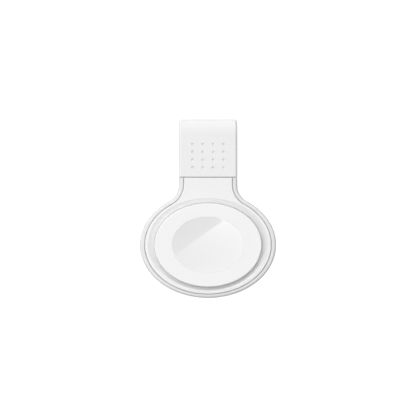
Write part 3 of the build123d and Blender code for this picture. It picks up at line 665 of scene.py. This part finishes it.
def end_tree(tree, result, geometry, material):
    """Every tree ends the same way: real faces with one material."""
    real = add(tree, "GeometryNodeRealizeInstances", {0: geometry}).outputs[0]
    coloured = add(tree, "GeometryNodeSetMaterial", {"Geometry": real, "Material": material}).outputs[0]
    tree.links.new(coloured, result["Geometry"])

# %% [markdown]
# ### Polished cover with its hollow
# The oval cover is the one main piece that follows a pure rule: at a fraction r of the way from the centre
# to the edge, the surface lies lower than the rim by the depth times one minus r squared, which is the
# middle of a very large bowl. A plain grid is bent into polar rows, pushed up into a slab, and its upper
# side lowered by that rule. The rows are dense enough that the reflected edge stays perfectly straight.

# %% Polished cover
MERGED = 1e-6               # the rows of the grid meet at the centre and at the seam
def bowl_tree():
    tree, given, result = new_tree(
        "oval_bowl", ("Half Width", FLOAT, 1.0), ("Half Length", FLOAT, 1.0), ("Seat Height", FLOAT, 0.0),
        ("Thickness", FLOAT, 1.0), ("Lip", FLOAT, 0.1), ("Depth", FLOAT, 0.1), ("Spokes", WHOLE, 160),
        ("Rings", WHOLE, 40))
    grid = add(tree, "GeometryNodeMeshGrid", {
        "Size X": 2 * pi, "Size Y": 1.0, "Vertices X": given["Spokes"], "Vertices Y": given["Rings"]})
    u, v, _ = position_now(tree)
    share = total(tree, v, 0.5)
    x = product(tree, calc(tree, "COSINE", u), share, given["Half Width"])
    y = product(tree, calc(tree, "SINE", u), share, given["Half Length"])
    flat = add(tree, "GeometryNodeSetPosition", {
        "Geometry": grid.outputs[0], "Position": vector(tree, x, y, given["Seat Height"])}).outputs[0]
    flat = add(tree, "GeometryNodeMergeByDistance", {"Geometry": flat, "Distance": MERGED}).outputs[0]
    slab = extruded(tree, flat, vector(tree, z=given["Thickness"]))
    under = add(tree, "GeometryNodeFlipFaces", {0: flat}).outputs[0]
    x, y, _ = position_now(tree)
    across = calc(tree, "DIVIDE", x, calc(tree, "SUBTRACT", given["Half Width"], given["Lip"]))
    along = calc(tree, "DIVIDE", y, calc(tree, "SUBTRACT", given["Half Length"], given["Lip"]))
    bowl = calc(tree, "SUBTRACT", 1.0, squares(tree, across, along), clamp=True)
    hollow = add(tree, "GeometryNodeSetPosition", {
        "Geometry": slab["Mesh"], "Selection": slab["Top"],
        "Offset": vector(tree, z=product(tree, bowl, given["Depth"], -1.0))}).outputs[0]
    end_tree(tree, result, gather(tree, hollow, under), given["Material"])
    return tree

COVER_FIT = 0.03 * MM       # the cover's edge eases out towards the pad, so the joint all but closes
DISH_LIP = 0.12 * MM
DISH_DEPTH = 0.5 * MM
dish_low, dish_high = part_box("dish_cover")
dish = grow("polished_cover", bowl_tree(), {
    "Half Width": dish_high.x + COVER_FIT, "Half Length": dish_high.y + COVER_FIT,
    "Seat Height": dish_low.z, "Thickness": dish_high.z - dish_low.z, "Lip": DISH_LIP, "Depth": DISH_DEPTH,
    "Material": finishes["dish"]})
settle(dish, "charger", "dish", "dish_cover")

# %% [markdown]
# ### Wound coil
# The charging coil is one enamelled wire, wound inwards in a flat spiral, taken up a layer at the middle and
# wound outwards again. Nested rings would look similar from above but would never connect, so the tree
# bends one long line: its radius goes down and back up at an even rate while its height steps up at the
# turning point. A round profile then makes it wire.

# %% Wound coil
def coil_tree():
    tree, given, result = new_tree(
        "wound_coil", ("Outer Radius", FLOAT, 1.0), ("Turns", FLOAT, 8.0), ("Pitch", FLOAT, 0.1),
        ("Wire Radius", FLOAT, 0.1), ("Lower Height", FLOAT, 0.0), ("Layer Step", FLOAT, 0.1),
        ("Steps Per Turn", WHOLE, 72), ("Wire Sides", WHOLE, 10))
    steps = product(tree, given["Turns"], 2.0, given["Steps Per Turn"])
    line = add(tree, "GeometryNodeCurvePrimitiveLine", {"End": (1, 0, 0)}).outputs[0]
    line = add(tree, "GeometryNodeResampleCurve", {"Curve": line, "Count": total(tree, steps, 1.0)}).outputs[0]
    turn = calc(tree, "DIVIDE", add(tree, "GeometryNodeInputIndex").outputs[0], given["Steps Per Turn"])
    inward = calc(tree, "PINGPONG", turn, given["Turns"])
    radius = calc(tree, "SUBTRACT", given["Outer Radius"], given["Wire Radius"])
    radius = calc(tree, "SUBTRACT", radius, product(tree, inward, given["Pitch"]))
    angle = product(tree, turn, 2 * pi)
    past = calc(tree, "ADD", calc(tree, "SUBTRACT", turn, given["Turns"]), 0.5, clamp=True)
    spiral = vector(
        tree, product(tree, calc(tree, "COSINE", angle), radius),
        product(tree, calc(tree, "SINE", angle), radius),
        total(tree, given["Lower Height"], product(tree, past, given["Layer Step"])))
    wound = add(tree, "GeometryNodeSetPosition", {"Geometry": line, "Position": spiral}).outputs[0]
    profile = add(tree, "GeometryNodeCurvePrimitiveCircle", {
        "Resolution": given["Wire Sides"], "Radius": given["Wire Radius"]}).outputs[0]
    wire = add(tree, "GeometryNodeCurveToMesh", {
        "Curve": wound, "Profile Curve": profile, "Fill Caps": True}).outputs[0]
    end_tree(tree, result, wire, given["Material"])
    return tree

COIL_TURNS = 8.0
WIRE_PITCH = 0.55 * MM
WIRE_RADIUS = 0.265 * MM    # a little thinner than half the pitch, for the enamel and air between turns
coil_low, coil_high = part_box("charging_coil")
coil = grow("coil_winding", coil_tree(), {
    "Outer Radius": coil_high.x, "Turns": COIL_TURNS, "Pitch": WIRE_PITCH, "Wire Radius": WIRE_RADIUS,
    "Lower Height": coil_low.z + WIRE_RADIUS, "Layer Step": coil_high.z - coil_low.z - 2 * WIRE_RADIUS,
    "Material": finishes["copper"]})
settle(coil, "charger", "copper", "charging_coil")

# %% [markdown]
# ### Studded rubber foot
# The foot is a thin oval of soft rubber sunk in the rear shell, with low round studs that grip the table.
# The studs stand in a close staggered pattern, cut off where the oval ends. The tree builds both: an oval
# slab with an eased edge, and one small dome on every point of the pattern.

# %% Studded foot
ROW_SPACING = 0.866         # rows of a close staggered pattern, as a share of the pitch
ROWS_OVER = 2.3             # half lengths of foot to fill with rows, at that spacing
STUD_MARGIN = 1.5           # how far studs stay from the edge, in studs
def foot_tree():
    tree, given, result = new_tree(
        "studded_foot", ("Half Width", FLOAT, 1.0), ("Half Length", FLOAT, 1.0), ("Top", FLOAT, 1.0),
        ("Stud Height", FLOAT, 0.1), ("Stud Radius", FLOAT, 0.1), ("Stud Pitch", FLOAT, 0.1),
        ("Edge", FLOAT, 0.1))
    thickness = calc(tree, "SUBTRACT", given["Top"], given["Stud Height"])
    straight = calc(tree, "SUBTRACT", thickness, given["Edge"])
    disc = add(tree, "GeometryNodeMeshCircle", {"Vertices": 128, "Radius": 1.0}, fill_type="NGON").outputs[0]
    disc = scaled(tree, disc, vector(tree, given["Half Width"], given["Half Length"], 1.0))
    disc = moved(tree, disc, vector(tree, z=given["Top"]))
    side = extruded(tree, disc, vector(tree, z=product(tree, straight, -1.0)))
    ease = vector(tree, z=product(tree, given["Edge"], -1.0))
    lower = extruded(tree, side["Mesh"], ease, Selection=side["Top"])
    inset = calc(tree, "SUBTRACT", 1.0, calc(tree, "DIVIDE", given["Edge"], given["Half Length"]))
    eased = add(tree, "GeometryNodeScaleElements", {
        "Geometry": lower["Mesh"], "Selection": lower["Top"], "Scale": inset}).outputs[0]

    pitch = given["Stud Pitch"]
    columns = calc(tree, "CEIL", calc(tree, "DIVIDE", product(tree, given["Half Width"], 2.0), pitch))
    rows = calc(tree, "CEIL", calc(tree, "DIVIDE", product(tree, given["Half Length"], ROWS_OVER), pitch))
    grid = add(tree, "GeometryNodeMeshGrid", {
        "Size X": product(tree, calc(tree, "SUBTRACT", columns, 1.0), pitch),
        "Size Y": product(tree, calc(tree, "SUBTRACT", rows, 1.0), product(tree, pitch, ROW_SPACING)),
        "Vertices X": columns, "Vertices Y": rows}).outputs[0]
    row = calc(tree, "MODULO", add(tree, "GeometryNodeInputIndex").outputs[0], rows)
    stagger = calc(tree, "SUBTRACT", calc(tree, "MODULO", row, 2.0), 0.5)
    shift = product(tree, stagger, product(tree, pitch, 0.5))
    points = add(tree, "GeometryNodeSetPosition", {
        "Geometry": grid, "Offset": vector(tree, x=shift, z=given["Stud Height"])}).outputs[0]
    x, y, _ = position_now(tree)
    margin = product(tree, total(tree, given["Stud Radius"], given["Edge"]), STUD_MARGIN)
    across = calc(tree, "DIVIDE", x, calc(tree, "SUBTRACT", given["Half Width"], margin))
    along = calc(tree, "DIVIDE", y, calc(tree, "SUBTRACT", given["Half Length"], margin))
    outside = calc(tree, "GREATER_THAN", squares(tree, across, along), 1.0)
    points = add(tree, "GeometryNodeDeleteGeometry", {"Geometry": points, "Selection": outside}).outputs[0]
    ball = add(tree, "GeometryNodeMeshUVSphere", {"Segments": 10, "Rings": 6, "Radius": 1.0}).outputs[0]
    dome = vector(tree, given["Stud Radius"], given["Stud Radius"], given["Stud Height"])
    studs = add(tree, "GeometryNodeInstanceOnPoints", {"Points": points, "Instance": ball, "Scale": dome})
    body = gather(tree, eased, disc)
    end_tree(tree, result, gather(tree, body, studs.outputs[0]), given["Material"])
    return tree

STUD_HEIGHT = 0.14 * MM
STUD_RADIUS = 0.42 * MM
STUD_PITCH = 1.15 * MM
FOOT_EDGE = 0.14 * MM
foot_low, foot_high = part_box("rear_pad")
foot = grow("studded_foot", foot_tree(), {
    "Half Width": foot_high.x, "Half Length": foot_high.y, "Top": foot_high.z, "Stud Height": STUD_HEIGHT,
    "Stud Radius": STUD_RADIUS, "Stud Pitch": STUD_PITCH, "Edge": FOOT_EDGE, "Material": finishes["foot"]})
settle(foot, "charger", "foot", "rear_pad")

# %% [markdown]
# ### Screws
# Two small screws hold the coil carrier and three larger ones the board. A screw is a threaded shank and a
# flat domed head with a cross recess. The thread is a real ridge wound round the shank, and the recess is
# cut with two crossed bars. Both sizes come from one tree, stood on the points where screws go.

# %% Screw tree
THREADED = 0.85             # the share of the shank that carries thread
THREAD_START = 0.97         # where it starts, as a share of the shank from the head
THREAD_SEAT = 0.3           # how far the ridge's middle stands out, as a share of the thread's depth
RIDGE = 0.68                # the ridge's radius, as a share of the thread's depth
RECESS_LENGTH = 1.1         # the cross recess, as shares of the head's radius and height
RECESS_WIDTH = 0.24
RECESS_DEPTH = 1.1
LARGER = 3.0                # a block larger than any head, to cut off what is below the seat
def screw_tree():
    tree, given, result = new_tree(
        "thread_forming_screw", ("Shank Radius", FLOAT, 1.0), ("Shank Length", FLOAT, 1.0),
        ("Head Radius", FLOAT, 1.0), ("Head Height", FLOAT, 1.0), ("Thread Pitch", FLOAT, 0.3),
        ("Thread Depth", FLOAT, 0.1), ("Turned Over", FLOAT, 0.0))
    length, pitch, depth = given["Shank Length"], given["Thread Pitch"], given["Thread Depth"]
    head_radius, head_height = given["Head Radius"], given["Head Height"]
    core = calc(tree, "SUBTRACT", given["Shank Radius"], depth)
    shank = add(tree, "GeometryNodeMeshCylinder", {
        "Vertices": 20, "Radius": core, "Depth": length}, fill_type="NGON").outputs["Mesh"]
    shank = moved(tree, shank, vector(tree, z=product(tree, length, -0.5)))
    turns = calc(tree, "DIVIDE", product(tree, length, THREADED), pitch)
    middle = total(tree, core, product(tree, depth, THREAD_SEAT))
    helix = add(tree, "GeometryNodeCurveSpiral", {
        "Resolution": 20, "Rotations": turns, "Start Radius": middle, "End Radius": middle,
        "Height": product(tree, turns, pitch)}).outputs[0]
    helix = moved(tree, helix, vector(tree, z=product(tree, length, -THREAD_START)))
    ridge = add(tree, "GeometryNodeCurvePrimitiveCircle", {
        "Resolution": 4, "Radius": product(tree, depth, RIDGE)}).outputs[0]
    thread = add(tree, "GeometryNodeCurveToMesh", {
        "Curve": helix, "Profile Curve": ridge, "Fill Caps": True}).outputs[0]
    ball = add(tree, "GeometryNodeMeshUVSphere", {"Segments": 28, "Rings": 14, "Radius": 1.0}).outputs[0]
    head = scaled(tree, ball, vector(tree, head_radius, head_radius, head_height))

    bar = product(tree, head_radius, RECESS_LENGTH)
    slim = product(tree, head_radius, RECESS_WIDTH)
    deep = product(tree, head_height, RECESS_DEPTH)
    large = product(tree, head_radius, LARGER)
    rise = vector(tree, z=head_height)
    below = vector(tree, z=product(tree, large, -0.5))
    for size, place_at in (((bar, slim, deep), rise), ((slim, bar, deep), rise), ((large,) * 3, below)):
        cutter = add(tree, "GeometryNodeMeshCube", {"Size": vector(tree, *size)}).outputs["Mesh"]
        cutter = moved(tree, cutter, place_at)
        head = add(tree, "GeometryNodeMeshBoolean", {0: head, 1: cutter}, operation="DIFFERENCE").outputs[0]
    screws = add(tree, "GeometryNodeInstanceOnPoints", {
        "Points": given["Geometry"], "Instance": gather(tree, shank, thread, head),
        "Rotation": vector(tree, x=product(tree, given["Turned Over"], pi))}).outputs[0]
    end_tree(tree, result, screws, given["Material"])
    return tree

# %% Screws in their places
screws = screw_tree()
small_low, small_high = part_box("carrier_screws")
small_radius = (small_high.y - small_low.y) / 2
SMALL_HEAD_HEIGHT = 0.55 * MM
small_x = small_high.x - small_radius
small_z = small_low.z + SMALL_HEAD_HEIGHT
small = grow("carrier_fixing_screws", screws, {
    "Shank Radius": 0.7 * MM, "Shank Length": small_high.z - small_z, "Head Radius": small_radius,
    "Head Height": SMALL_HEAD_HEIGHT, "Thread Pitch": 0.5 * MM, "Thread Depth": 0.16 * MM,
    "Turned Over": 1.0, "Material": finishes["steel"]},
    seed_points([(small_x, 0, small_z), (-small_x, 0, small_z)]))
settle(small, "charger", "steel", "carrier_screws")

large_low, large_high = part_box("board_screws")
LARGE_HEAD_RADIUS = 1.5 * MM
LARGE_HEAD_HEIGHT = 0.8 * MM
large_x = large_high.x - LARGE_HEAD_RADIUS
large_y = large_low.y + LARGE_HEAD_RADIUS
large_z = large_high.z - LARGE_HEAD_HEIGHT
large = grow("board_fixing_screws", screws, {
    "Shank Radius": 0.8 * MM, "Shank Length": large_z - large_low.z, "Head Radius": LARGE_HEAD_RADIUS,
    "Head Height": LARGE_HEAD_HEIGHT, "Thread Pitch": 0.6 * MM, "Thread Depth": 0.18 * MM,
    "Material": finishes["steel"]},
    seed_points([(large_x, 0, large_z), (-large_x, 0, large_z), (0, large_y, large_z)]))
settle(large, "charger", "steel", "board_screws")

# %% [markdown]
# ### Packages on the board
# Chips, capacitors and resistors are moulded or pressed blocks. A razor-sharp block looks false at any
# size, so each body is a block with rounded edges. Blocks in a row are spaced evenly between the two ends
# of the row's box, so only the size of one block is needed.

# %% Rounded blocks
def row_of_boxes(node, count, size, axis):
    """The boxes of the blocks in one row, from the row's whole box."""
    low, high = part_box(node)
    step = (high[axis] - low[axis] - size) / max(1, count - 1)
    boxes = []
    for number in range(count):
        start, end = low.copy(), high.copy()
        start[axis] = low[axis] + number * step
        end[axis] = start[axis] + size
        boxes.append((start, end))
    return boxes

def rounded_blocks(name, boxes, edge):
    """Blocks that fill the boxes, with rounded edges."""
    bm = bmesh.new()
    for low, high in boxes:
        made = bmesh.ops.create_cube(bm, size=1.0)["verts"]
        for vertex in made:
            vertex.co = (low + high) / 2 + vertex.co * (high - low)
    bmesh.ops.bevel(
        bm, geom=list(bm.edges), offset=edge, segments=2, profile=0.5, affect="EDGES", clamp_overlap=True)
    mesh = bpy.data.meshes.new(name)
    bm.to_mesh(mesh)
    bm.free()
    tidy_mesh(mesh)
    piece = bpy.data.objects.new(name, mesh)
    scene.collection.objects.link(piece)
    return piece

X, Y = 0, 1
block_rows = {
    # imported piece: (how many, size of one along the row, the row's axis, name, edge radius), in millimetres
    "controller_chip": (1, 5.0, X, "controller_package", 0.08),
    "bridge_chips": (2, 3.0, Y, "bridge_packages", 0.07),
    "resonant_capacitors": (4, 3.2, X, "resonant_capacitor_bodies", 0.1),
    "ceramic_capacitors": (4, 1.6, X, "ceramic_capacitor_bodies", 0.08),
    "resistors": (6, 0.6, X, "resistor_bodies", 0.03),
    "clock_crystal": (1, 3.2, X, "crystal_package", 0.12),
    "power_inductor": (1, 5.0, X, "inductor_core", 0.35),
    "thermal_pad": (1, 9.0, X, "thermal_gel_block", 0.3),
}
boxes_of = {}
for node, (count, size, axis, name, edge) in block_rows.items():
    boxes_of[node] = row_of_boxes(node, count, size * MM, axis)
    block = rounded_blocks(name, boxes_of[node], edge * MM)
    block.data.materials.append(finishes[slot_of[node]])
    settle(block, "charger", slot_of[node], node)

# %% [markdown]
# ### Metal ends and leads
# A capacitor or resistor has a tinned metal cap on each end, and a flat chip package has a row of small
# metal lands along each side. Both are the same rule: a small block repeated along a line, the line
# repeated round the body. One tree does it, with the number of sides, blocks per side and spacing as
# inputs.

# %% Lead rows
def lead_tree():
    tree, given, result = new_tree(
        "lead_rows", ("Sides", WHOLE, 4), ("Per Side", WHOLE, 8), ("Spacing", FLOAT, 0.5),
        ("Reach X", FLOAT, 1.0), ("Reach Y", FLOAT, 1.0), ("Block", VECTOR, None),
        ("First Turn", FLOAT, 0.0))
    block = add(tree, "GeometryNodeMeshCube", {"Size": given["Block"]}).outputs["Mesh"]
    span = product(tree, calc(tree, "SUBTRACT", given["Per Side"], 1.0), given["Spacing"])
    row = add(tree, "GeometryNodeMeshLine", {
        "Count": given["Per Side"], "Start Location": vector(tree, y=product(tree, span, -0.5)),
        "Offset": vector(tree, y=given["Spacing"])}, mode="OFFSET").outputs[0]
    row = add(tree, "GeometryNodeInstanceOnPoints", {"Points": row, "Instance": block}).outputs[0]
    index = add(tree, "GeometryNodeInputIndex").outputs[0]
    turn = product(tree, index, calc(tree, "DIVIDE", 2 * pi, given["Sides"]))
    turn = total(tree, turn, given["First Turn"])
    reach = vector(
        tree, product(tree, calc(tree, "COSINE", turn), given["Reach X"]),
        product(tree, calc(tree, "SINE", turn), given["Reach Y"]))
    sides = add(tree, "GeometryNodePoints", {"Count": given["Sides"], "Position": reach}).outputs[0]
    around = add(tree, "GeometryNodeInstanceOnPoints", {
        "Points": sides, "Instance": row, "Rotation": vector(tree, z=turn)}).outputs[0]
    everywhere = add(tree, "GeometryNodeInstanceOnPoints", {
        "Points": given["Geometry"], "Instance": around}).outputs[0]
    end_tree(tree, result, everywhere, given["Material"])
    return tree

leads = lead_tree()

def centres(node, height):
    """The middle of each block of a row, seen from above, at a height."""
    return [((low.x + high.x) / 2, (low.y + high.y) / 2, height) for low, high in boxes_of[node]]

# %% Lands under the chips
board_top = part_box("main_board")[1].z
LAND = Vector((0.45, 0.26, 0.12)) * MM
for node, per_side, spacing, name in (
        ("controller_chip", 8, 0.5 * MM, "controller_lands"), ("bridge_chips", 4, 0.5 * MM, "bridge_lands")):
    low, high = boxes_of[node][0]
    lands = grow(name, leads, {
        "Sides": 4, "Per Side": per_side, "Spacing": spacing, "Reach X": (high.x - low.x) / 2,
        "Reach Y": (high.y - low.y) / 2, "Block": LAND, "Material": finishes["solder"]},
        seed_points(centres(node, board_top + LAND.z / 2)))
    settle(lands, "charger", "contact")

# %% Metal ends of capacitors and resistors
END_PROUD = 0.03 * MM
for node, share, across, name in (
        ("resonant_capacitors", 0.16, False, "resonant_capacitor_ends"),
        ("ceramic_capacitors", 0.24, False, "ceramic_capacitor_ends"),
        ("resistors", 0.24, True, "resistor_ends"), ("clock_crystal", 0.16, False, "crystal_ends")):
    low, high = boxes_of[node][0]
    size = high - low
    length, width = (size.y, size.x) if across else (size.x, size.y)
    cap = length * share
    ends = grow(name, leads, {
        "Sides": 2, "Per Side": 1, "Spacing": 0.0, "Reach X": (length - cap) / 2 + END_PROUD,
        "Reach Y": (length - cap) / 2 + END_PROUD, "First Turn": pi / 2 if across else 0.0,
        "Block": Vector((cap, width + 2 * END_PROUD, size.z + END_PROUD)), "Material": finishes["solder"]},
        seed_points(centres(node, (low.z + high.z + END_PROUD) / 2)))
    settle(ends, "charger", "contact")

# %% [markdown]
# ### Solder joints
# Solder climbs a lead and pulls into a small hollow-sided cone. The tree draws in the sides of a plain cone,
# most at half its height, and puts one on each point where a lead or a plug contact meets the board.

# %% Solder joints
CONE_TOP = 0.3              # the top's radius, as a share of the foot's
DRAWN_IN = 0.35             # how far the sides are drawn in at half height
def joint_tree():
    tree, given, result = new_tree("solder_cones", ("Foot Radius", FLOAT, 0.6), ("Height", FLOAT, 0.5))
    cone = add(tree, "GeometryNodeMeshCone", {
        "Vertices": 16, "Side Segments": 6, "Radius Top": product(tree, given["Foot Radius"], CONE_TOP),
        "Radius Bottom": given["Foot Radius"], "Depth": given["Height"]}, fill_type="NGON").outputs["Mesh"]
    x, y, z = position_now(tree)
    climb = product(tree, calc(tree, "DIVIDE", z, given["Height"], clamp=True), pi)
    waist = calc(tree, "SUBTRACT", 1.0, product(tree, calc(tree, "SINE", climb), DRAWN_IN))
    hollow = vector(tree, product(tree, x, waist), product(tree, y, waist), z)
    shaped = add(tree, "GeometryNodeSetPosition", {"Geometry": cone, "Position": hollow}).outputs[0]
    joints = add(tree, "GeometryNodeInstanceOnPoints", {"Points": given["Geometry"], "Instance": shaped})
    end_tree(tree, result, joints.outputs[0], given["Material"])
    return tree

contact_low, contact_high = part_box("usb_contacts")
CONTACT_PLACES = (-3.5 * MM, -1.0 * MM, 1.0 * MM, 3.5 * MM)
JOINT_BACK = 0.55 * MM
lead_low, lead_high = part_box("coil_leads")
LEAD_RADIUS = 0.25 * MM
joints = [(x, contact_low.y + JOINT_BACK, board_top) for x in CONTACT_PLACES]
joints += [(lead_high.x - LEAD_RADIUS, y, board_top)
           for y in (lead_high.y - LEAD_RADIUS, lead_low.y + LEAD_RADIUS)]
solder = grow("solder_joints", joint_tree(), {
    "Foot Radius": 0.55 * MM, "Height": 0.42 * MM, "Material": finishes["solder"]}, seed_points(joints))
settle(solder, "charger", "contact")

# %% Sizes
low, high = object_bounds()
